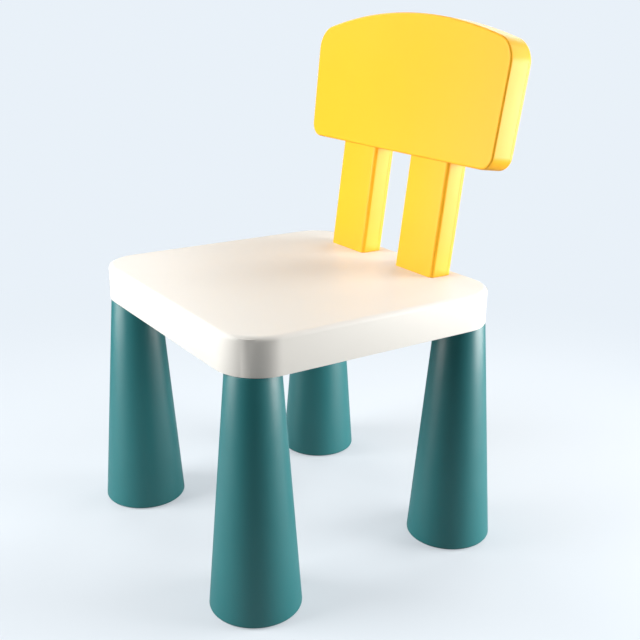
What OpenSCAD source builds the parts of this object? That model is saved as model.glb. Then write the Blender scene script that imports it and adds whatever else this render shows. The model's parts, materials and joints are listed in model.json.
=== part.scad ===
// Child's plug-together chair: a ribbed seat, four twist-in cone legs and a two-post backrest.
// The origin is on the floor under the middle of the seat. The front is -Y, the backrest is at +Y.

/* [Seat] */
// Height of the seat's top face above the floor
seat_h = 260; // [240:1:300]
// Width of the seat, side to side
seat_w = 296.5; // [280:0.5:330]
// Depth of the seat, front to back
seat_d = 282; // [270:1:310]
// Height of the seat's skirt
skirt_h = 35; // [34:0.5:40]
// Radius of the seat's upright corners
corner_r = 40; // [34:1:48]
// Radius of the seat's top edge
seat_edge_r = 4.5; // [3.5:0.5:8]
// Thickness of the seat's top and skirt
seat_wall = 3; // [2.4:0.1:3.4]

/* [Legs] */
// Radius of a leg under the seat
leg_top_r = 24; // [23.8:0.1:25]
// Radius of a leg's cone at the floor
leg_base_r = 41.6; // [36:0.1:44]
// Distance from a leg's axis to the seat's two nearest sides
leg_inset = 28.3; // [28:0.1:31]
// Thickness of a leg's wall
leg_wall = 2.6; // [2.2:0.1:3]
// Radius of a leg's bottom edge
leg_edge_r = 2.6; // [1.5:0.1:3]
// Height that a rubber pad stands below its leg
pad_proud = 0.8; // [0.5:0.1:1.5]

/* [Leg lock] */
// Radius of the neck that enters the seat
neck_r = 19.9; // [19:0.1:20]
// Height of the neck
neck_h = 26; // [24:0.5:28]
// Number of bayonet lugs on a neck
lug_count = 3; // [2:1:3]
// Turn that frees a leg, in degrees
unlock_turn = 35; // [25:1:45]

/* [Backrest] */
// Backward lean of the backrest, in degrees
recline = 7.2; // [4:0.1:9]
// Distance from the seat's middle to the plane of the panel's front
back_y = 101.7; // [96:0.1:103]
// Thickness of the panel
back_t = 27.4; // [26:0.1:28]
// How far the posts' front faces lie behind the panel's
post_recess = 2.7; // [1.5:0.1:3.5]
// Width of a post
post_w = 57.3; // [48:0.1:58]
// Width of the gap between the two posts
post_gap = 54.6; // [50:0.1:60]
// Radius of a post's four upright edges
post_edge_r = 4; // [2:0.5:5]
// Height of the panel's lower edge above the seat
panel_low = 110.8; // [95:0.1:120]
// Height of the panel's upper corners above the seat
panel_high = 222; // [200:1:240]
// Rise of the arched top above those corners
panel_arch = 21.6; // [12:0.1:30]
// Width of the panel's lower edge
panel_low_w = 286; // [260:1:300]
// Width of the panel at its upper corners
panel_high_w = 295.5; // [280:0.5:310]
// Radius of the panel's lower corners
panel_low_r = 14.3; // [10:0.1:20]
// Radius of the panel's upper corners
panel_high_r = 23.9; // [16:0.1:30]
// Radius of the panel's front edge
panel_front_r = 2.3; // [1.5:0.1:4]
// Radius of the panel's rear edge
panel_rear_r = 5; // [3:0.5:5.5]
// Thickness of the backrest's walls
back_wall = 3; // [2.4:0.1:3.4]
// Length of the post tongues inside the seat
tongue_h = 27; // [22:1:28]

/* [Hidden] */
$fn = 96;

seat_white = [0.97, 0.95, 0.90];
leg_teal = [0.17, 0.44, 0.44];
back_yellow = [1.00, 0.84, 0.22];

// Seat
under_z = seat_h - skirt_h;      // height of the skirt's lower edge
seat_inner_edge_r = 1.5;         // radius between the top and the skirt, inside
rib_count = 5;                   // ribs each way
rib_t = 2;
rib_h = 20;
rib_pitch_x = (seat_w - 2 * seat_wall) / (rib_count + 1);
rib_pitch_y = (seat_d - 2 * seat_wall) / (rib_count + 1);

// Leg sockets
run_gap = 0.05;                  // running clearance of the neck in its socket
socket_r = neck_r + run_gap;
boss_wall = 3.65;                // wall of a socket outside the neck's bore
boss_r = socket_r + boss_wall;
lug_reach = 1.8;                 // how far a lug stands out of the neck
lug_h = 5;
lug_z = 10;                      // height of a lug above the leg's shoulder
lug_span = 18;                   // angle that a lug covers
lug_gap = 0.3;                   // clearance around a lug in its groove
lug_gap_turn = 1;                // the same at a lug's two ends, as an angle
groove_r = neck_r + lug_reach + lug_gap;
leg_x = seat_w / 2 - leg_inset;
leg_y = seat_d / 2 - leg_inset;

// Legs
leg_slope = atan((leg_base_r - leg_top_r) / under_z);
foot_edge_z = pad_proud + leg_edge_r;
foot_edge_x = cone_r(foot_edge_z) - leg_edge_r / cos(leg_slope);
shoulder_t = 3;                  // thickness of the leg's top and of the neck's wall
leg_chamfer = 0.8;
neck_chamfer = 1;
neck_bore_r = neck_r - shoulder_t;
cap_r = 37.6;                    // radius of the seat that the foot cap is pressed into
cap_h = 13;                      // depth of that seat
cap_wall = 2.2;
cap_gap = 0.1;
pad_r = 30;
pad_t = 2;

// Backrest
well_gap = 0.3;                  // clearance around a tongue in its well
well_wall = 2.5;
seam = back_t - panel_rear_r - 1; // depth of the joint between the two shells
overlap = 25;                    // how far a post runs up into the panel
corner_steps = 7;                // steps along a corner of the panel's outline
arch_steps = 10;                 // steps along half of its arched top
edge_turn = 18;                  // degrees a step round the panel's front and rear edges
screw_r = 1.45;
screw_head_r = 3.6;
screw_head_t = 1.3;
screw_sink = 1.5;                // depth of the counterbore over a screw
screw_len = 16;
screw_boss_r = 4.4;
screw_hole_r = 1.5;
screw_gap = 0.3;                 // clearance around a screw and its head in the rear shell
post_mid = (post_gap + post_w) / 2;
screw_places = [for (side = [-1, 1], at = [
    [post_mid, 14, post_recess],
    [post_mid, panel_low + 18, 0],
    [panel_high_w / 2 - 34, panel_high - 16, 0]])
    [side * at.x, at.y, at.z]];  // across, up, and the depth of the front face there

// Panel outline, in its own plane: side lines, corner circles and the top arc
side_foot = [panel_low_w / 2, panel_low];
side_dir = unit([panel_high_w / 2, panel_high] - side_foot);
side_out = [side_dir.y, -side_dir.x];
arch_r = (pow(panel_high_w / 2, 2) + pow(panel_arch, 2)) / (2 * panel_arch);
arch_c = [0, panel_high + panel_arch - arch_r];
low_c = [side_foot.x - panel_low_r * (1 + side_out.y) / side_out.x, panel_low + panel_low_r];
high_start = side_foot - panel_high_r * side_out;
high_off = high_start - arch_c;
high_along = -high_off * side_dir
    + sqrt(pow(high_off * side_dir, 2) - high_off * high_off + pow(arch_r - panel_high_r, 2));
high_c = high_start + high_along * side_dir;
arch_half = atan2(high_c.x, high_c.y - arch_c.y);
side_turn = atan2(side_out.y, side_out.x);

// Direction of a vector, as a vector of length 1
function unit(v) = v / norm(v);

// A point's mirror image, left for right
function flip(p) = [-p.x, p.y];

// Radius of a leg's cone at height z
function cone_r(z) = leg_base_r - (leg_base_r - leg_top_r) * z / under_z;

// ---- Shared shapes ----

// Flat shape between two radii, for a turned sector
module ring_part(r0, r1, z0, z1) {
    translate([r0, z0]) square([r1 - r0, z1 - z0]);
}

// Sector of a ring, centred on the angle `at`
module sector(r0, r1, z0, z1, at, span) {
    rotate([0, 0, at - span / 2]) rotate_extrude(angle = span) ring_part(r0, r1, z0, z1);
}

// Block with upright corners of radius r and a top edge of radius e
module soft_block(w, d, h, r, e) {
    for (sx = [-1, 1], sy = [-1, 1])
        translate([sx * (w / 2 - r), sy * (d / 2 - r), 0]) rotate_extrude() {
            square([r - e, h]);
            square([r, h - e]);
            translate([r - e, h - e]) circle(e);
        }
    rotate([90, 0, 90]) translate([0, 0, r - w / 2]) linear_extrude(w - 2 * r) soft_top(d, h, e);
    rotate([90, 0, 0]) translate([0, 0, r - d / 2]) linear_extrude(d - 2 * r) soft_top(w, h, e);
}

// Rectangle with two rounded top corners
module soft_top(w, h, e) {
    translate([-w / 2, 0]) square([w, h - e]);
    translate([e - w / 2, 0]) square([w - 2 * e, h]);
    for (s = [-1, 1]) translate([s * (w / 2 - e), h - e]) circle(e);
}

// Puts children at a leg's axis, on the floor
module at_leg(sx, sy) {
    translate([sx * leg_x, sy * leg_y, 0]) children();
}

// Puts children in the backrest's plane: X across, Y into its thickness, Z up its slope
module on_back() {
    translate([0, back_y, seat_h]) rotate([-recline, 0, 0]) children();
}

// Extrudes an outline in the backrest's plane from depth w0 to depth w1
module through_back(w0, w1) {
    rotate([90, 0, 0]) translate([0, 0, -w1]) linear_extrude(w1 - w0) children();
}

// ---- Seat ----

// Ribs under the seat's top, both ways, run into the skirt
module ribs() {
    top = seat_h - seat_wall;
    for (k = [1:rib_count]) {
        i = k - (rib_count + 1) / 2;
        translate([i * rib_pitch_x - rib_t / 2, 1 - seat_d / 2, top - rib_h])
            cube([rib_t, seat_d - 2, rib_h + 1]);
        translate([1 - seat_w / 2, i * rib_pitch_y - rib_t / 2, top - rib_h])
            cube([seat_w - 2, rib_t, rib_h + 1]);
    }
}

// Space that a neck and its lugs sweep as the leg goes in and turns
module socket_space() {
    slot_low = under_z + lug_z - lug_gap;
    slot_high = under_z + lug_z + lug_h + lug_gap;
    width = lug_span + 2 * lug_gap_turn;
    translate([0, 0, under_z - 1]) cylinder(h = skirt_h - seat_wall + 1, r = socket_r);
    for (i = [0:lug_count - 1]) {
        at = i * 360 / lug_count;
        sector(socket_r - 1, groove_r, under_z - 1, slot_high, at - unlock_turn, width);
        sector(socket_r - 1, groove_r, slot_low, slot_high, at - unlock_turn / 2,
               width + unlock_turn);
    }
}

// Section of a post across its length, grown on every side
module post_section(grow = 0) {
    r = post_edge_r + grow;
    w = post_w + 2 * grow;
    t = back_t - post_recess + 2 * grow;
    translate([-w / 2, post_recess - grow]) {
        translate([r, 0]) square([w - 2 * r, t]);
        translate([0, r]) square([w, t - 2 * r]);
        for (x = [r, w - r], y = [r, t - r]) translate([x, y]) circle(r);
    }
}

// Puts children at the middle of each post
module at_posts() {
    for (side = [-1, 1]) translate([side * post_mid, 0, 0]) children();
}

// The seat: top and skirt, ribs, leg sockets and backrest wells
module seat() {
    color(seat_white) difference() {
        union() {
            difference() {
                translate([0, 0, under_z]) soft_block(seat_w, seat_d, skirt_h, corner_r, seat_edge_r);
                translate([0, 0, under_z - 1])
                    soft_block(seat_w - 2 * seat_wall, seat_d - 2 * seat_wall,
                               skirt_h - seat_wall + 1, corner_r - seat_wall, seat_inner_edge_r);
            }
            ribs();
            for (sx = [-1, 1], sy = [-1, 1])
                at_leg(sx, sy) translate([0, 0, under_z]) cylinder(h = skirt_h - 1, r = boss_r);
            intersection() {
                on_back() at_posts() translate([0, 0, -tongue_h - well_wall])
                    linear_extrude(tongue_h + well_wall + 5) post_section(well_gap + well_wall);
                translate([0, 0, under_z + skirt_h / 2 - 1])
                    cube([seat_w - 4, seat_d - 4, skirt_h], center = true);
            }
        }
        for (sx = [-1, 1], sy = [-1, 1]) at_leg(sx, sy) socket_space();
        on_back() at_posts() translate([0, 0, -tongue_h])
            linear_extrude(tongue_h + 10) post_section(well_gap);
    }
}

// ---- Legs ----

// Half of a leg's section, to be turned about the leg's axis
module leg_section() {
    neck_top = under_z + neck_h;
    difference() {
        union() {
            polygon([
                [0, pad_proud],
                [foot_edge_x, pad_proud],
                [foot_edge_x + leg_edge_r * cos(leg_slope), foot_edge_z + leg_edge_r * sin(leg_slope)],
                [leg_top_r, under_z - leg_chamfer],
                [leg_top_r - leg_chamfer, under_z],
                [neck_r, under_z],
                [neck_r, neck_top - neck_chamfer],
                [neck_r - neck_chamfer, neck_top],
                [0, neck_top]]);
            translate([foot_edge_x, foot_edge_z]) circle(leg_edge_r);
        }
        polygon([
            [-1, 0],
            [cap_r, 0],
            [cap_r, pad_proud + cap_h],
            [cone_r(cap_h) - leg_wall - 1.5, pad_proud + cap_h],
            [leg_top_r - leg_wall, under_z - shoulder_t],
            [neck_bore_r, under_z - shoulder_t],
            [neck_bore_r, neck_top - shoulder_t],
            [-1, neck_top - shoulder_t]]);
    }
}

// One hollow leg with its neck and lugs
module leg(sx, sy) {
    at_leg(sx, sy) color(leg_teal) union() {
        rotate_extrude() leg_section();
        for (i = [0:lug_count - 1])
            sector(neck_r - 1, neck_r + lug_reach, under_z + lug_z, under_z + lug_z + lug_h,
                   i * 360 / lug_count, lug_span);
    }
}

// Shallow cup, pressed into the leg's open end with its rim against the step inside
module foot_cap(sx, sy) {
    r = cap_r - cap_gap;
    at_leg(sx, sy) color(leg_teal) translate([0, 0, pad_proud]) difference() {
        cylinder(h = cap_h, r = r);
        translate([0, 0, cap_wall + pad_t]) cylinder(h = cap_h, r = r - cap_wall);
        translate([0, 0, -1]) cylinder(h = 1 + pad_t - pad_proud, r = pad_r + cap_gap);
    }
}

// Rubber disc in the cap's recess
module foot_pad(sx, sy) {
    at_leg(sx, sy) color("dimgray") cylinder(h = pad_t, r = pad_r);
}

// ---- Backrest ----

// Outline of the panel, set in by k all round
module panel_outline(k = 0) {
    side_low = low_c + (panel_low_r - k) * side_out;
    side_high = high_c + (panel_high_r - k) * side_out;
    arch_end = arch_c + (arch_r - k) * [sin(arch_half), cos(arch_half)];
    polygon([
        [low_c.x, panel_low + k], side_low, side_high, arch_end,
        flip(arch_end), flip(side_high), flip(side_low), [-low_c.x, panel_low + k]]);
    for (side = [-1, 1]) {
        translate([side * low_c.x, low_c.y]) circle(panel_low_r - k);
        translate([side * high_c.x, high_c.y]) circle(panel_high_r - k);
    }
    intersection() {
        translate(arch_c) circle(arch_r - k, $fn = 256);
        translate([-arch_end.x, high_c.y]) square([2 * arch_end.x, 2 * panel_arch + panel_high_r]);
    }
}

// Points on an arc about c, from angle a0 to angle a1
function arc_points(c, r, a0, a1, steps) =
    [for (i = [0:steps]) let (a = a0 + (a1 - a0) * i / steps) c + r * [cos(a), sin(a)]];

// Right half of the panel's outline, set in by k, from its lower corner up to the middle of the arch
function right_half(k) = concat(
    arc_points(low_c, panel_low_r - k, -90, side_turn, corner_steps),
    arc_points(high_c, panel_high_r - k, side_turn, 90 - arch_half, corner_steps),
    arc_points(arch_c, arch_r - k, 90 - arch_half * arch_steps / (arch_steps + 1), 90, arch_steps));

// The whole outline, set in by k, anticlockwise from the lower right corner
function outline_points(k) = let (half = right_half(k), n = len(half))
    concat(half, [for (i = [n - 2:-1:0]) flip(half[i])]);

// The whole panel, solid, with rounded front and rear edges, as rings of its outline
module panel_solid() {
    front = panel_front_r;
    rear = panel_rear_r;
    rings = concat(
        [for (a = [0:edge_turn:90]) [front * (1 - cos(a)), front * (1 - sin(a))]],
        [for (a = [90:-edge_turn:0]) [back_t - rear * (1 - cos(a)), rear * (1 - sin(a))]]);
    n = len(outline_points(0));
    last = len(rings) - 1;
    polyhedron(
        points = [for (ring = rings, p = outline_points(ring[1])) [p.x, ring[0], p.y]],
        faces = concat(
            [[for (i = [n - 1:-1:0]) i], [for (i = [0:n - 1]) last * n + i]],
            [for (j = [0:last - 1], i = [0:n - 1], k = [0, 1])
                let (a = j * n + i, b = j * n + (i + 1) % n)
                k == 0 ? [a, b, b + n] : [a, b + n, a + n]]));
}

// Hollow of the backrest down to depth w1: the panel from depth w0, the posts from post_w0
module back_hollow(w0, post_w0, w1) {
    through_back(w0, w1) panel_outline(back_wall);
    at_posts() translate([back_wall - post_w / 2, post_w0, back_wall - tongue_h])
        cube([post_w - 2 * back_wall, w1 - post_w0, tongue_h + panel_low + overlap - back_wall]);
}

// The backrest's outer shape, cut to the part of its thickness between two depths
module back_outer(w0, w1) {
    intersection() {
        union() {
            panel_solid();
            at_posts() translate([0, 0, -tongue_h])
                linear_extrude(tongue_h + panel_low + overlap) post_section();
        }
        translate([-seat_w, w0, -seat_h]) cube([2 * seat_w, w1 - w0, 3 * seat_h]);
    }
}

// Round bars through the backrest's thickness at each screw
module at_screws(w0, w1, r) {
    for (p = screw_places)
        translate([p.x, w0, p.y]) rotate([-90, 0, 0]) cylinder(h = w1 - w0, r = r);
}

// Front shell: the panel's face and most of both posts, with bosses for the screws
module backrest_front() {
    boss_top = back_t - back_wall;
    on_back() color(back_yellow) difference() {
        union() {
            difference() {
                back_outer(-1, seam);
                back_hollow(back_wall, post_recess + back_wall, seam + 1);
            }
            for (p = screw_places) translate([p.x, p.z + back_wall - 1, p.y])
                rotate([-90, 0, 0]) cylinder(h = boss_top + 1 - back_wall - p.z, r = screw_boss_r);
        }
        at_screws(boss_top - screw_len, boss_top + 1, screw_hole_r);
    }
}

// Rear shell, screwed to the bosses of the front one
module backrest_rear() {
    on_back() color(back_yellow) difference() {
        back_outer(seam, back_t + 1);
        back_hollow(seam - 1, seam - 1, back_t - back_wall);
        at_screws(seam, back_t + 1, screw_r + screw_gap);
        at_screws(back_t - screw_sink, back_t + 1, screw_head_r + screw_gap);
    }
}

// Six self-tapping screws, their heads at the bottom of the counterbores
module backrest_screws() {
    head_base = back_t - screw_sink;
    on_back() color("silver") union() {
        at_screws(head_base, head_base + screw_head_t, screw_head_r);
        at_screws(head_base - screw_len, head_base + 0.1, screw_r);
    }
}

seat();
leg(-1, -1);  // leg_front_left
leg(1, -1);  // leg_front_right
leg(-1, 1);  // leg_rear_left
leg(1, 1);  // leg_rear_right
foot_cap(-1, -1);  // foot_cap_front_left
foot_cap(1, -1);  // foot_cap_front_right
foot_cap(-1, 1);  // foot_cap_rear_left
foot_cap(1, 1);  // foot_cap_rear_right
foot_pad(-1, -1);  // foot_pad_front_left
foot_pad(1, -1);  // foot_pad_front_right
foot_pad(-1, 1);  // foot_pad_rear_left
foot_pad(1, 1);  // foot_pad_rear_right
backrest_front();
backrest_rear();
backrest_screws();
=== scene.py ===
"""A child's plug-together chair: cream seat, four teal cone legs and a yellow two-post backrest.

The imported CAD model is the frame. Every visible moulding is rebuilt here as a finer mesh in the same place,
in metres, with the front of the chair at -Y.
"""

import json
from math import atan, atan2, cos, degrees, pi, radians, sin, sqrt

import bmesh
import bpy
from mathutils import Matrix, Vector


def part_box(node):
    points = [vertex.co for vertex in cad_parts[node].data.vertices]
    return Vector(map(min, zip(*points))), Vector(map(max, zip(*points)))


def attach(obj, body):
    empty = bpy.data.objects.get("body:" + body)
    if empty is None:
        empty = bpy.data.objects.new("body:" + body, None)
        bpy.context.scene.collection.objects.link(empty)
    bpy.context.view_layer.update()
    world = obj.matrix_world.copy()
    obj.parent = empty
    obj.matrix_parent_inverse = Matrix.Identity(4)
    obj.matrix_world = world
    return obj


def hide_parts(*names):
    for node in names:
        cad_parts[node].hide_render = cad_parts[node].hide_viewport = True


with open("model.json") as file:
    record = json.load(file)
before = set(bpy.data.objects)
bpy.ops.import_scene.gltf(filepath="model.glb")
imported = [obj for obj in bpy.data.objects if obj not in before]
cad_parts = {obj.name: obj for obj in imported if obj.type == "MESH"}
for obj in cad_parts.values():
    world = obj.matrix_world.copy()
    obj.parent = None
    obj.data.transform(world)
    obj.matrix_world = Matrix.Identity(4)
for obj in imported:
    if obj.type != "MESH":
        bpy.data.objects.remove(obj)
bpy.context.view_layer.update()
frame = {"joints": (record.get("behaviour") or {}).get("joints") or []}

MM = 0.001

# ---------------------------------------------------------------- sizes
JOINTS = {j["name"]: j for j in frame["joints"]}
CORNERS = ["front_left", "front_right", "rear_left", "rear_right"]
BITE = 1.0 * MM                  # how far two meshes that are joined run into each other

SEAT_LOW, SEAT_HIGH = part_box("seat")
SEAT_W = SEAT_HIGH.x - SEAT_LOW.x
SEAT_D = SEAT_HIGH.y - SEAT_LOW.y
SEAT_TOP = SEAT_HIGH.z
SEAT_UNDER = SEAT_LOW.z
SEAT_WALL = 3.0 * MM
SEAT_CEILING = SEAT_TOP - SEAT_WALL
SEAT_CORNER_R = 40.0 * MM
SEAT_EDGE_R = 4.5 * MM
SEAT_INNER_R = 1.5 * MM
SKIRT_LIP = 0.8 * MM             # rounding of the skirt's lower edges

RIB_BAYS = 6                     # bays between the ribs, each way
RIB_H = 20.0 * MM
RIB_HALF_T = 1.0 * MM
RIB_DRAFT = 0.2 * MM             # how much a rib's half thickness shrinks from root to edge

LEG_TOP_R = 24.0 * MM
LEG_CONE_R = 41.6 * MM           # radius of the leg's cone where it would meet the floor
LEG_EDGE_R = 2.6 * MM
LEG_SHOULDER_R = 0.8 * MM
NECK_R = 19.9 * MM
NECK_H = 26.0 * MM
NECK_CHAMFER = 1.0 * MM
BOSS_WALL = 3.7 * MM
BOSS_CHAMFER = 0.6 * MM

PAD_R = 30.0 * MM
PAD_T = 2.0 * MM
PAD_PROUD = 0.8 * MM             # how far the pads stand below the legs
PAD_EDGE_R = 0.5 * MM
GROOVE_W, GROOVE_DEPTH, GROOVE_PITCH = 1.2 * MM, 0.5 * MM, 4.6 * MM
CAP_R = 37.5 * MM
CAP_T = 12.9 * MM
FIT = 0.1 * MM                   # slack round the caps, and round the pads in them
CHAMFER = 0.3 * MM

LIFT_AXIS = Vector(JOINTS["backrest_lift"]["axis"])
RECLINE = atan2(LIFT_AXIS.y, LIFT_AXIS.z)
BACK_Y = 101.7 * MM              # plane of the panel's front, where it would meet the seat's top
BACK_T = 27.35 * MM
POST_W, POST_GAP = 57.3 * MM, 54.6 * MM
POST_MID = (POST_GAP + POST_W) / 2
POST_RECESS = 2.7 * MM           # how far the posts' front faces lie behind the panel's
POST_EDGE_R = 4.0 * MM
TONGUE = 27.0 * MM               # how far the posts reach below the seat's top
WELL_SLACK, WELL_WALL = 0.3 * MM, 2.5 * MM
PANEL_LOW, PANEL_HIGH = 110.8 * MM, 221.97 * MM
PANEL_ARCH = 21.6 * MM           # how far the top edge bows up in the middle
PANEL_LOW_W, PANEL_HIGH_W = 286.0 * MM, 295.5 * MM
PANEL_LOW_R, PANEL_HIGH_R = 14.3 * MM, 23.9 * MM
PANEL_FRONT_R, PANEL_REAR_R = 2.3 * MM, 5.0 * MM
POST_OVERLAP = 12.0 * MM         # how far the posts run up inside the panel
SEAM = BACK_T - PANEL_REAR_R - 1.0 * MM
SEAM_GROOVE, SEAM_HALF_W = 0.05 * MM, 0.3 * MM

SCREW_SINK = 1.5 * MM            # depth of the counterbores
BORE_R, BORE_MOUTH_R = 3.9 * MM, 4.4 * MM
SHANK_R, SHANK_L = 1.45 * MM, 3.0 * MM
RECESS_HALF_L, RECESS_HALF_W = 2.0 * MM, 0.42 * MM


# ---------------------------------------------------------------- mesh helpers
def smooth_by_angle(obj, angle):
    """Smooth shading except across edges sharper than angle, in degrees."""
    bpy.ops.object.select_all(action="DESELECT")
    bpy.context.view_layer.objects.active = obj
    obj.select_set(True)
    bpy.ops.object.shade_smooth_by_angle(angle=radians(angle), keep_sharp_edges=False)


def make_object(name, bm):
    """A smooth-shaded object from a bmesh, which is used up."""
    bmesh.ops.recalc_face_normals(bm, faces=bm.faces)
    mesh = bpy.data.meshes.new(name)
    bm.to_mesh(mesh)
    bm.free()
    obj = bpy.data.objects.new(name, mesh)
    bpy.context.scene.collection.objects.link(obj)
    smooth_by_angle(obj, 35)
    return obj


def boolean(obj, tool, operation):
    """Cuts or joins tool into obj for good, and removes the tool."""
    mod = obj.modifiers.new(operation.lower(), "BOOLEAN")
    mod.operation, mod.solver, mod.object = operation, "EXACT", tool
    bpy.context.view_layer.update()
    graph = bpy.context.evaluated_depsgraph_get()
    mesh = bpy.data.meshes.new_from_object(obj.evaluated_get(graph))
    obj.modifiers.clear()
    old, obj.data = obj.data, mesh
    bpy.data.meshes.remove(old)
    bpy.data.objects.remove(tool)


def lathe(bm, profile, centre, segments):
    """Turns a (radius, z) profile about a vertical axis at centre. Radius 0 becomes one vertex."""
    rings = []
    for r, z in profile:
        turns = [0] if r == 0 else [2 * pi * i / segments for i in range(segments)]
        rings.append([bm.verts.new((centre[0] + r * cos(a), centre[1] + r * sin(a), z)) for a in turns])
    for a, b in zip(rings, rings[1:]):
        if len(a) == 1 and len(b) == 1:
            continue
        for i in range(segments):
            j = (i + 1) % segments
            if len(a) == 1:
                bm.faces.new((a[0], b[i], b[j]))
            elif len(b) == 1:
                bm.faces.new((a[i], b[0], a[j]))
            else:
                bm.faces.new((a[i], b[i], b[j], a[j]))


def loft(bm, rings):
    """Joins closed rings of (x, y, z), which have the same number of points, and caps both ends."""
    made = [[bm.verts.new(p) for p in ring] for ring in rings]
    count = len(made[0])
    for a, b in zip(made, made[1:]):
        for i in range(count):
            j = (i + 1) % count
            bm.faces.new((a[i], a[j], b[j], b[i]))
    bm.faces.new(made[0])
    bm.faces.new(made[-1][::-1])


def arc(cx, cy, r, a0, a1, steps):
    """Points on an arc, angles in degrees."""
    turns = [radians(a0 + (a1 - a0) * i / steps) for i in range(steps + 1)]
    return [(cx + r * cos(a), cy + r * sin(a)) for a in turns]


def rounding(r, step):
    """(inset, depth) pairs round an edge, from the face (depth 0) to the side (inset 0)."""
    return [(r * (1 - sin(radians(a))), r * (1 - cos(radians(a)))) for a in range(0, 91, step)]


# ---------------------------------------------------------------- materials
def new_material(name):
    mat = bpy.data.materials.new(name)
    mat.use_nodes = True
    return mat, mat.node_tree, mat.node_tree.nodes["Principled BSDF"]


def object_coordinates(tree):
    """The object's own coordinates."""
    return tree.nodes.new("ShaderNodeTexCoord").outputs["Object"]


def noise(tree, scale, detail):
    node = tree.nodes.new("ShaderNodeTexNoise")
    node.inputs["Scale"].default_value = scale
    node.inputs["Detail"].default_value = detail
    tree.links.new(object_coordinates(tree), node.inputs["Vector"])
    return node.outputs["Fac"]


def blend(tree, value, low, high, span=(0.0, 1.0)):
    """A colour that goes from low to high as value crosses span."""
    ramp = tree.nodes.new("ShaderNodeValToRGB")
    for element, position, colour in zip(ramp.color_ramp.elements, span, (low, high)):
        element.position = position
        element.color = (*colour, 1)
    tree.links.new(value, ramp.inputs["Fac"])
    return ramp.outputs["Color"]


def spread(tree, value, low, high):
    """value, from 0 to 1, made to run from low to high."""
    node = tree.nodes.new("ShaderNodeMapRange")
    node.inputs["To Min"].default_value = low
    node.inputs["To Max"].default_value = high
    tree.links.new(value, node.inputs["Value"])
    return node.outputs["Result"]


def bump(tree, height, strength, distance, under=None):
    """Relief on the surface, laid over the relief in under."""
    node = tree.nodes.new("ShaderNodeBump")
    node.inputs["Strength"].default_value = strength
    node.inputs["Distance"].default_value = distance
    tree.links.new(height, node.inputs["Height"])
    if under is not None:
        tree.links.new(under, node.inputs["Normal"])
    return node.outputs["Normal"]


def moulded_plastic(name, colour, deep, roughness, specular, tint=(1, 1, 1)):
    """Injection-moulded plastic: a faint drift of colour, uneven gloss, orange peel and a fine grain."""
    mat, tree, shader = new_material(name)
    drift = blend(tree, noise(tree, 9.0, 3.0), deep, colour, (0.30, 0.70))
    gloss = spread(tree, noise(tree, 60.0, 4.0), roughness - 0.05, roughness + 0.05)
    peel = bump(tree, noise(tree, 120.0, 1.0), 0.03, 1.0 * MM)
    grain = bump(tree, noise(tree, 2600.0, 2.0), 0.02, 0.1 * MM, peel)
    tree.links.new(drift, shader.inputs["Base Color"])
    tree.links.new(gloss, shader.inputs["Roughness"])
    tree.links.new(grain, shader.inputs["Normal"])
    shader.inputs["IOR"].default_value = 1.5
    shader.inputs["Specular IOR Level"].default_value = specular
    shader.inputs["Specular Tint"].default_value = (*tint, 1)
    return mat


def pad_rubber():
    """Black rubber, matt and slightly rough."""
    mat, tree, shader = new_material("pad_rubber")
    speck = noise(tree, 900.0, 4.0)
    shade = blend(tree, speck, (0.018, 0.018, 0.019), (0.050, 0.050, 0.052))
    tree.links.new(shade, shader.inputs["Base Color"])
    tree.links.new(spread(tree, speck, 0.70, 0.92), shader.inputs["Roughness"])
    tree.links.new(bump(tree, speck, 0.25, 0.2 * MM), shader.inputs["Normal"])
    return mat


def screw_steel():
    """Zinc-plated steel, cloudy in colour and gloss."""
    mat, tree, shader = new_material("screw_steel")
    cloud = noise(tree, 700.0, 5.0)
    shade = blend(tree, cloud, (0.50, 0.50, 0.49), (0.72, 0.72, 0.74))
    tree.links.new(shade, shader.inputs["Base Color"])
    tree.links.new(spread(tree, cloud, 0.25, 0.42), shader.inputs["Roughness"])
    shader.inputs["Metallic"].default_value = 1.0
    return mat


SEAT_PLASTIC = moulded_plastic(
    "seat_plastic", (0.742, 0.719, 0.668), (0.732, 0.709, 0.658), roughness=0.45, specular=0.3)
LEG_PLASTIC = moulded_plastic(
    "leg_plastic", (0.019, 0.163, 0.174), (0.017, 0.156, 0.166), roughness=0.40, specular=0.62,
    tint=(1.0, 0.88, 0.84))
BACK_PLASTIC = moulded_plastic(
    "backrest_plastic", (0.93, 0.450, 0.024), (0.92, 0.440, 0.022), roughness=0.38, specular=0.2)
PAD_RUBBER = pad_rubber()
SCREW_STEEL = screw_steel()


def dress(obj, material, body, node):
    """Gives a piece its material and its body, and hides the CAD node that it stands for."""
    obj.data.materials.clear()
    obj.data.materials.append(material)
    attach(obj, body)
    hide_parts(node)


# ---------------------------------------------------------------- shared places
def leg_axis(corner):
    x, y, _ = JOINTS[f"leg_{corner}_twist"]["pos_m"]
    return x, y


def back_point(u, w, v):
    """A point of the backrest: u across, w into its thickness, v up its slope from the seat's top."""
    return (u,
            BACK_Y + v * sin(RECLINE) + w * cos(RECLINE),
            SEAT_TOP + v * cos(RECLINE) - w * sin(RECLINE))


def mirrored(right):
    """A closed outline from its right half, which runs from one end of the middle line to the other."""
    return right + [(-u, w) for u, w in reversed(right)]


def post_outline(grow):
    """Section of a whole post about its middle, grown on every side."""
    half, r = POST_W / 2 + grow, POST_EDGE_R + grow
    near, far = POST_RECESS - grow, BACK_T + grow
    return mirrored(arc(half - r, near + r, r, -90, 0, 8) + arc(half - r, far - r, r, 0, 90, 8))


def two_posts(name, outline, v0, v1):
    """Both posts in the given section, from height v0 to v1 up the backrest."""
    posts = bmesh.new()
    for side in (-1, 1):
        loft(posts, [[back_point(side * POST_MID + u, w, v) for u, w in outline] for v in (v0, v1)])
    return make_object(name, posts)


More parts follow.
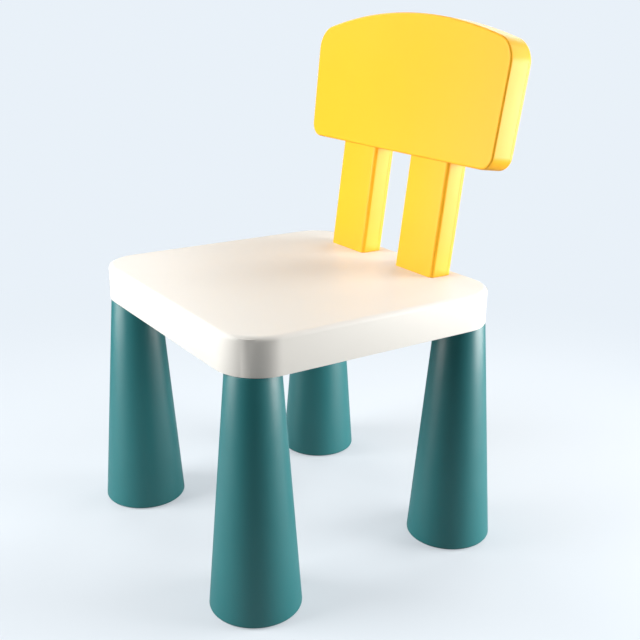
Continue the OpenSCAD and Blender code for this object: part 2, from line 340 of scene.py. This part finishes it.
# ---------------------------------------------------------------- seat
def seat_ring(inset, z):
    """Rounded rectangle, set in from the seat's outline."""
    x, y, r = SEAT_W / 2 - SEAT_CORNER_R, SEAT_D / 2 - SEAT_CORNER_R, SEAT_CORNER_R - inset
    ring = []
    for sx, sy, start in ((1, 1, 0), (-1, 1, 90), (-1, -1, 180), (1, -1, 270)):
        ring += [(px, py, z) for px, py in arc(sx * x, sy * y, r, start, start + 90, 16)]
    return ring


def seat_shell():
    """The top and the skirt, lofted from the top edge down the outside and up the inside."""
    outside = [(inset, SEAT_TOP - depth) for inset, depth in rounding(SEAT_EDGE_R, 10)]
    skirt_foot = [(0.0, SEAT_UNDER + SKIRT_LIP), (SKIRT_LIP * 0.3, SEAT_UNDER + SKIRT_LIP * 0.3),
                  (SKIRT_LIP, SEAT_UNDER), (SEAT_WALL - SKIRT_LIP, SEAT_UNDER),
                  (SEAT_WALL, SEAT_UNDER + SKIRT_LIP)]
    inside = [(SEAT_WALL + inset, SEAT_CEILING - depth)
              for inset, depth in reversed(rounding(SEAT_INNER_R, 30))]
    bm = bmesh.new()
    loft(bm, [seat_ring(inset, z) for inset, z in outside + skirt_foot + inside])
    return make_object("seat_shell", bm)


def ribs_across(name, pitch, length, turned):
    """Tapered ribs under the seat's top that run front to back, or side to side when turned."""
    bm = bmesh.new()
    for i in range(1 - RIB_BAYS // 2, RIB_BAYS // 2):
        rings = []
        for z, shrink in ((SEAT_CEILING - RIB_H, RIB_DRAFT), (SEAT_CEILING + BITE, 0)):
            t, end = RIB_HALF_T - shrink, length / 2 - BITE - shrink
            ring = [(i * pitch - t, -end), (i * pitch + t, -end), (i * pitch + t, end), (i * pitch - t, end)]
            rings.append([(y, x, z) if turned else (x, y, z) for x, y in ring])
        loft(bm, rings)
    return make_object(name, bm)


def leg_bosses():
    bm = bmesh.new()
    r = NECK_R + BOSS_WALL
    for corner in CORNERS:
        lathe(bm, [(0, SEAT_UNDER), (r - BOSS_CHAMFER, SEAT_UNDER), (r, SEAT_UNDER + BOSS_CHAMFER),
                   (r, SEAT_CEILING + BITE), (0, SEAT_CEILING + BITE)], leg_axis(corner), 96)
    return make_object("bosses", bm)


def leg_sockets():
    bm = bmesh.new()
    r = NECK_R + 0.05 * MM
    for corner in CORNERS:
        lathe(bm, [(0, SEAT_UNDER - BITE), (r, SEAT_UNDER - BITE), (r, SEAT_CEILING), (0, SEAT_CEILING)],
              leg_axis(corner), 96)
    return make_object("sockets", bm)


def make_seat():
    """The seat moulding: top, skirt, ribs, leg sockets and backrest wells."""
    seat = seat_shell()
    boolean(seat, ribs_across("ribs", (SEAT_W - 2 * SEAT_WALL) / RIB_BAYS, SEAT_D, False), "UNION")
    boolean(seat, ribs_across("cross_ribs", (SEAT_D - 2 * SEAT_WALL) / RIB_BAYS, SEAT_W, True), "UNION")
    boolean(seat, leg_bosses(), "UNION")
    boolean(seat, two_posts("wells", post_outline(WELL_SLACK + WELL_WALL), -TONGUE - WELL_WALL, -2 * MM),
            "UNION")
    boolean(seat, leg_sockets(), "DIFFERENCE")
    boolean(seat, two_posts("post_holes", post_outline(WELL_SLACK), -TONGUE, 20 * MM), "DIFFERENCE")
    smooth_by_angle(seat, 35)
    dress(seat, SEAT_PLASTIC, "seat", "seat")


# ---------------------------------------------------------------- legs and feet
def cone_r(z):
    return LEG_CONE_R - (LEG_CONE_R - LEG_TOP_R) * z / SEAT_UNDER


def make_leg(corner):
    """Cone leg with a rounded foot, a small shoulder and the neck that locks into the seat."""
    slope = degrees(atan((LEG_CONE_R - LEG_TOP_R) / SEAT_UNDER))
    edge_z = PAD_PROUD + LEG_EDGE_R
    edge_r = cone_r(edge_z) - LEG_EDGE_R / cos(radians(slope))
    cap_top = PAD_PROUD + CAP_T + FIT
    top = SEAT_UNDER + NECK_H
    profile = [(0, cap_top), (CAP_R + FIT, cap_top), (CAP_R + FIT, PAD_PROUD + CHAMFER),
               (CAP_R + FIT + CHAMFER, PAD_PROUD)]
    profile += arc(edge_r, edge_z, LEG_EDGE_R, -90, slope, 9)
    profile += [(cone_r(SEAT_UNDER * t), SEAT_UNDER * t) for t in (0.25, 0.5, 0.75)]
    profile += arc(LEG_TOP_R - LEG_SHOULDER_R, SEAT_UNDER - LEG_SHOULDER_R, LEG_SHOULDER_R, slope, 90, 5)
    profile += [(NECK_R, SEAT_UNDER), (NECK_R, top - NECK_CHAMFER), (NECK_R - NECK_CHAMFER, top), (0, top)]
    bm = bmesh.new()
    lathe(bm, profile, leg_axis(corner), 160)
    leg = make_object(f"leg_shell_{corner}", bm)
    dress(leg, LEG_PLASTIC, f"leg_{corner}", f"leg_{corner}")


def make_cap(corner):
    """Cap that closes the leg's open end, with a recess for the rubber pad and one moulded ring groove."""
    z, recess = PAD_PROUD, PAD_PROUD + 1.2 * MM
    groove_z, groove_in, groove_out = z + 0.4 * MM, PAD_R + 3.0 * MM, PAD_R + 4.5 * MM
    profile = [(0, recess), (PAD_R + FIT, recess), (PAD_R + FIT, z + CHAMFER), (PAD_R + FIT + CHAMFER, z),
               (groove_in, z), (groove_in + CHAMFER, groove_z), (groove_out - CHAMFER, groove_z),
               (groove_out, z), (CAP_R - CHAMFER, z), (CAP_R, z + CHAMFER), (CAP_R, z + CAP_T),
               (0, z + CAP_T)]
    bm = bmesh.new()
    lathe(bm, profile, leg_axis(corner), 128)
    cap = make_object(f"foot_cap_{corner}_moulding", bm)
    dress(cap, LEG_PLASTIC, f"leg_{corner}", f"foot_cap_{corner}")


def make_pad(corner):
    """Rubber disc with concentric grip grooves."""
    profile = [(0, 0)]
    slant = 0.2 * MM
    r = GROOVE_PITCH - GROOVE_W
    while r + GROOVE_PITCH < PAD_R:
        profile += [(r, 0), (r + slant, GROOVE_DEPTH), (r + GROOVE_W - slant, GROOVE_DEPTH),
                    (r + GROOVE_W, 0)]
        r += GROOVE_PITCH
    profile += arc(PAD_R - PAD_EDGE_R, PAD_EDGE_R, PAD_EDGE_R, -90, 0, 4) + [(PAD_R, PAD_T), (0, PAD_T)]
    bm = bmesh.new()
    lathe(bm, profile, leg_axis(corner), 96)
    pad = make_object(f"foot_pad_{corner}_disc", bm)
    dress(pad, PAD_RUBBER, f"leg_{corner}", f"foot_pad_{corner}")


# ---------------------------------------------------------------- backrest
def panel_arcs():
    """The panel's lower corner centre, upper corner centre, arch centre and radius, and the two angles
    at which its side and its arch meet the upper corner."""
    foot, head = Vector((PANEL_LOW_W / 2, PANEL_LOW)), Vector((PANEL_HIGH_W / 2, PANEL_HIGH))
    along = (head - foot).normalized()
    out = Vector((along.y, -along.x))
    arch_r = ((PANEL_HIGH_W / 2) ** 2 + PANEL_ARCH ** 2) / (2 * PANEL_ARCH)
    arch_c = Vector((0, PANEL_HIGH + PANEL_ARCH - arch_r))
    low_c = Vector((foot.x - PANEL_LOW_R * (1 + out.y) / out.x, PANEL_LOW + PANEL_LOW_R))
    start = foot - PANEL_HIGH_R * out
    off = start - arch_c
    ahead = off.dot(along)
    step = -ahead + sqrt(ahead ** 2 - off.length_squared + (arch_r - PANEL_HIGH_R) ** 2)
    high_c = start + step * along
    side_turn = degrees(atan2(out.y, out.x))
    arch_turn = 90 - degrees(atan2(high_c.x, high_c.y - arch_c.y))
    return low_c, high_c, arch_c, arch_r, side_turn, arch_turn


def panel_outline(k):
    """The panel's outline (u, v), set in by k all round."""
    low_c, high_c, arch_c, arch_r, side_turn, arch_turn = panel_arcs()
    right = arc(low_c.x, low_c.y, PANEL_LOW_R - k, -90, side_turn, 16)
    right += arc(high_c.x, high_c.y, PANEL_HIGH_R - k, side_turn, arch_turn, 18)
    right += arc(0, arch_c.y, arch_r - k, arch_turn, 90, 24)[1:]
    return right + [(-u, v) for u, v in reversed(right[:-1])]


def back_shell(name, sections, post):
    """One shell of the backrest: the panel through its (set-in, depth) sections, joined to two posts."""
    bm = bmesh.new()
    loft(bm, [[back_point(u, w, v) for u, v in panel_outline(k)] for k, w in sections])
    shell = make_object(name, bm)
    boolean(shell, two_posts("posts", post, -TONGUE, PANEL_LOW + POST_OVERLAP), "UNION")
    smooth_by_angle(shell, 30)
    return shell


def make_back_front():
    """Front shell of the backrest, whose panel stands proud of the posts."""
    half, r = POST_W / 2, POST_EDGE_R
    before_seam = SEAM - SEAM_HALF_W
    sections = rounding(PANEL_FRONT_R, 9) + [(0, before_seam), (SEAM_GROOVE, SEAM)]
    post = mirrored(arc(half - r, POST_RECESS + r, r, -90, 0, 10)
                    + [(half, before_seam), (half - SEAM_GROOVE, SEAM)])
    shell = back_shell("backrest_front_shell", sections, post)
    dress(shell, BACK_PLASTIC, "backrest", "backrest_front")


def screw_places():
    """(u, v) of the six screws: near each post's foot, at its head and in the panel's upper corner."""
    low, high = PANEL_LOW + 18 * MM, PANEL_HIGH - 16 * MM
    wide = PANEL_HIGH_W / 2 - 34 * MM
    return [(side * u, v) for side in (-1, 1)
            for u, v in ((POST_MID, 14 * MM), (POST_MID, low), (wide, high))]


def turned_bar(bm, u, v, profile):
    """A turned shape along the backrest's thickness: profile is (radius, depth)."""
    before = set(bm.verts)
    lathe(bm, profile, (0, 0), 48)
    for p in set(bm.verts) - before:
        p.co = Vector(back_point(u + p.co.x, p.co.z, v + p.co.y))


def make_back_rear():
    """Rear shell of the backrest, with six counterbores for its screws."""
    half, r = POST_W / 2, POST_EDGE_R
    after_seam = SEAM + SEAM_HALF_W
    sections = [(SEAM_GROOVE, SEAM), (0, after_seam)]
    sections += [(k, BACK_T - w) for k, w in reversed(rounding(PANEL_REAR_R, 9))]
    post = mirrored([(half - SEAM_GROOVE, SEAM), (half, after_seam)]
                    + arc(half - r, BACK_T - r, r, 0, 90, 10))
    shell = back_shell("backrest_rear_shell", sections, post)
    bores = bmesh.new()
    floor, clear = BACK_T - SCREW_SINK, BACK_T + 2 * MM
    for u, v in screw_places():
        turned_bar(bores, u, v, [(0, floor), (BORE_R, floor), (BORE_R, BACK_T - CHAMFER),
                                 (BORE_MOUTH_R, BACK_T + 0.2 * MM), (BORE_MOUTH_R, clear), (0, clear)])
    boolean(shell, make_object("bores", bores), "DIFFERENCE")
    smooth_by_angle(shell, 30)
    dress(shell, BACK_PLASTIC, "backrest", "backrest_rear")


def recess_bars(turn, base):
    """One bar of every screw's cross recess; each screw stopped at its own angle."""
    bars = bmesh.new()
    for i, (u, v) in enumerate(screw_places()):
        a = radians(turn + 37 * i)
        along = Vector((cos(a), sin(a))) * RECESS_HALF_L
        across = Vector((-sin(a), cos(a))) * RECESS_HALF_W
        corners = (-along - across, along - across, along + across, -along + across)
        loft(bars, [[back_point(u + q.x, w, v + q.y) for q in corners]
                    for w in (base + 0.45 * MM, base + 2 * MM)])
    return make_object("recess_bars", bars)


def make_screws():
    """Pan heads with a cross recess, at the bottom of the counterbores."""
    base = BACK_T - SCREW_SINK
    pan = [(3.5, 0), (3.6, 0.3), (3.4, 0.8), (2.7, 1.15), (1.5, 1.28), (0, 1.3)]   # in mm
    profile = [(0, base - SHANK_L), (SHANK_R, base - SHANK_L), (SHANK_R, base)]
    profile += [(r * MM, base + h * MM) for r, h in pan]
    heads = bmesh.new()
    for u, v in screw_places():
        turned_bar(heads, u, v, profile)
    screws = make_object("backrest_screw_heads", heads)
    for turn in (20, 110):
        boolean(screws, recess_bars(turn, base), "DIFFERENCE")
    smooth_by_angle(screws, 35)
    dress(screws, SCREW_STEEL, "backrest", "backrest_screws")


# ---------------------------------------------------------------- stage and light
BACKDROP = (0.815, 0.88, 0.945, 1)
FLOOR_R = 40.0
FADE_START, FADE_END = 0.15, 0.95    # distances from the chair's middle

# name, turn from the camera's side of the chair, distance, lowest and highest edge, width, watts
SOFTBOXES = [
    ("left_high", -75, 1.4, 0.80, 1.60, 1.0, 27.5),
    ("left_low", -78, 1.1, 0.03, 0.63, 0.8, 11.5),
    ("right_low", 87, 1.1, 0.03, 0.63, 0.8, 22.7),
    ("right_high", 95, 1.1, 0.80, 1.50, 0.8, 6.5),
    ("rear_left", -150, 1.1, 0.60, 1.50, 0.7, 6.0),
    ("rear_right", 150, 1.1, 0.60, 1.50, 0.7, 6.0),
]


def for_camera_only(tree):
    """1 for what the camera sees directly, 0 for the light that falls on things."""
    return tree.nodes.new("ShaderNodeLightPath").outputs["Is Camera Ray"]


def floor_paper():
    """Pale paper that fades into the backdrop away from the chair."""
    mat, tree, shader = new_material("floor_paper")
    shade = blend(tree, noise(tree, 1.2, 2.0), (0.60, 0.64, 0.67), (0.64, 0.68, 0.71))
    tree.links.new(shade, shader.inputs["Base Color"])
    shader.inputs["Roughness"].default_value = 0.9
    shader.inputs["Specular IOR Level"].default_value = 0.1

    glow = tree.nodes.new("ShaderNodeEmission")
    glow.inputs["Color"].default_value = BACKDROP
    tree.links.new(for_camera_only(tree), glow.inputs["Strength"])
    away = tree.nodes.new("ShaderNodeVectorMath")
    away.operation = "LENGTH"
    tree.links.new(object_coordinates(tree), away.inputs[0])
    fade = tree.nodes.new("ShaderNodeMapRange")
    fade.interpolation_type = "SMOOTHSTEP"
    fade.inputs["From Min"].default_value = FADE_START
    fade.inputs["From Max"].default_value = FADE_END
    fade.inputs["To Min"].default_value = 0.5
    tree.links.new(away.outputs["Value"], fade.inputs["Value"])

    mix = tree.nodes.new("ShaderNodeMixShader")
    tree.links.new(fade.outputs["Result"], mix.inputs["Fac"])
    tree.links.new(shader.outputs["BSDF"], mix.inputs[1])
    tree.links.new(glow.outputs["Emission"], mix.inputs[2])
    tree.links.new(mix.outputs["Shader"], tree.nodes["Material Output"].inputs["Surface"])
    return mat


def make_floor():
    bm = bmesh.new()
    bmesh.ops.create_circle(bm, cap_ends=True, segments=96, radius=FLOOR_R)
    floor = make_object("floor", bm)
    floor.data.materials.append(floor_paper())


def area_light(name, place, aim, size, power):
    """A softbox at place that faces aim and that the camera does not see."""
    data = bpy.data.lights.new(name, "AREA")
    data.shape = "RECTANGLE"
    data.size, data.size_y = size
    data.energy = power
    light = bpy.data.objects.new(name, data)
    light.location = place
    light.rotation_mode = "QUATERNION"
    light.rotation_quaternion = (Vector(aim) - Vector(place)).to_track_quat("-Z", "Y")
    light.visible_camera = False
    bpy.context.scene.collection.objects.link(light)


def make_lights(right, towards):
    """Softboxes round the chair and one above it. right and towards are the camera's directions."""
    for name, turn, far, low, high, width, watts in SOFTBOXES:
        a, middle = radians(turn), (low + high) / 2
        place = (towards * cos(a) + right * sin(a)) * far + Vector((0, 0, middle))
        area_light(name, place, (0, 0, middle / 2 + 0.15), (width, high - low), watts)
    area_light("top", (0, 0, 1.7), (0, 0, 0.25), (0.8, 0.8), 1.5)


def make_world():
    """Dim even light for the chair, in front of the pale backdrop that the camera sees."""
    world = bpy.data.worlds.new("studio")
    bpy.context.scene.world = world
    world.use_nodes = True
    tree = world.node_tree
    room = tree.nodes["Background"]
    room.inputs["Color"].default_value = (0.96, 0.98, 1.0, 1)
    room.inputs["Strength"].default_value = 0.05
    backdrop = tree.nodes.new("ShaderNodeBackground")
    backdrop.inputs["Color"].default_value = BACKDROP
    mix = tree.nodes.new("ShaderNodeMixShader")
    tree.links.new(for_camera_only(tree), mix.inputs["Fac"])
    tree.links.new(room.outputs["Background"], mix.inputs[1])
    tree.links.new(backdrop.outputs["Background"], mix.inputs[2])
    tree.links.new(mix.outputs["Shader"], tree.nodes["World Output"].inputs["Surface"])


# ---------------------------------------------------------------- camera
CAMERA_PLACE = Vector((0.7428, -0.4648, 0.5080))
CAMERA_TURN, CAMERA_PITCH, CAMERA_ROLL = radians(55.42), radians(18.91), radians(0.9)
CAMERA_LENS = 52.6                   # mm, for a sensor 36 mm wide
CAMERA_SHIFT = (-0.0176, 0.0066)


def make_camera():
    """A camera above the seat, off the chair's front right corner. Returns its level directions."""
    level = Vector((cos(CAMERA_TURN), sin(CAMERA_TURN), 0))
    towards = Vector((sin(CAMERA_TURN), -cos(CAMERA_TURN), 0))
    forward = -towards * cos(CAMERA_PITCH) - Vector((0, 0, sin(CAMERA_PITCH)))
    upright = level.cross(forward)
    right = level * cos(CAMERA_ROLL) + upright * sin(CAMERA_ROLL)
    up = upright * cos(CAMERA_ROLL) - level * sin(CAMERA_ROLL)
    data = bpy.data.cameras.new("camera")
    data.sensor_width = 36.0
    data.lens = CAMERA_LENS
    data.shift_x, data.shift_y = CAMERA_SHIFT
    data.clip_start = 0.01
    camera = bpy.data.objects.new("camera", data)
    axes = Matrix((right, up, -forward)).transposed().to_4x4()
    camera.matrix_world = Matrix.Translation(CAMERA_PLACE) @ axes
    bpy.context.scene.collection.objects.link(camera)
    bpy.context.scene.camera = camera
    return level, towards


# ---------------------------------------------------------------- the scene
bpy.context.scene.view_settings.view_transform = "Standard"
camera_right, camera_side = make_camera()
make_world()
make_lights(camera_right, camera_side)
make_floor()

make_seat()
for corner in CORNERS:
    make_leg(corner)
    make_cap(corner)
    make_pad(corner)
make_back_front()
make_back_rear()
make_screws()
